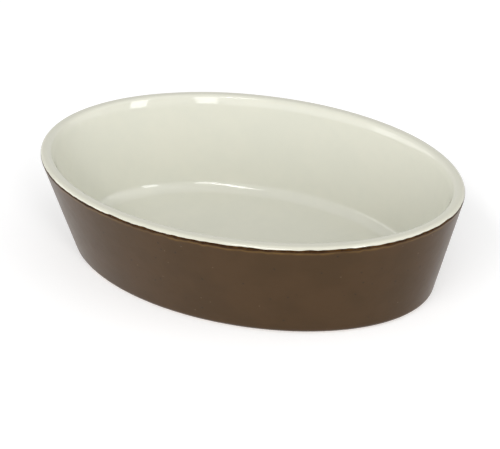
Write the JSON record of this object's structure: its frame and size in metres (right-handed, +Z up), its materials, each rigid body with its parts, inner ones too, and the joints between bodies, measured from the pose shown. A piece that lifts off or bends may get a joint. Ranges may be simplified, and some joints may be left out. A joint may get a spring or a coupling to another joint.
{
  "type": "gratin dish",
  "caption": "Deep oval oven dish in glazed stoneware, with a flared wall, a rounded rim and a foot ring; ivory inside, brown outside.",
  "frame": {"origin": "middle of the dish's footprint, on the surface it stands on", "axes": "+Z up; +X along the long axis of the oval; +Y across it"},
  "size_m": [0.28, 0.185, 0.072],
  "materials": {
    "stoneware": "bare fired clay, matt",
    "ivory_glaze": "glossy ivory glaze",
    "brown_glaze": "satin brown glaze with fine specks",
    "dark_glaze": "glossy dark brown glaze"
  },
  "bodies": {
    "root": {"clay_body": "stoneware", "inner_glaze": "ivory_glaze", "outer_glaze": "brown_glaze", "rim_line_glaze": "dark_glaze", "underside_glaze": "brown_glaze"}
  },
  "joints": []
}
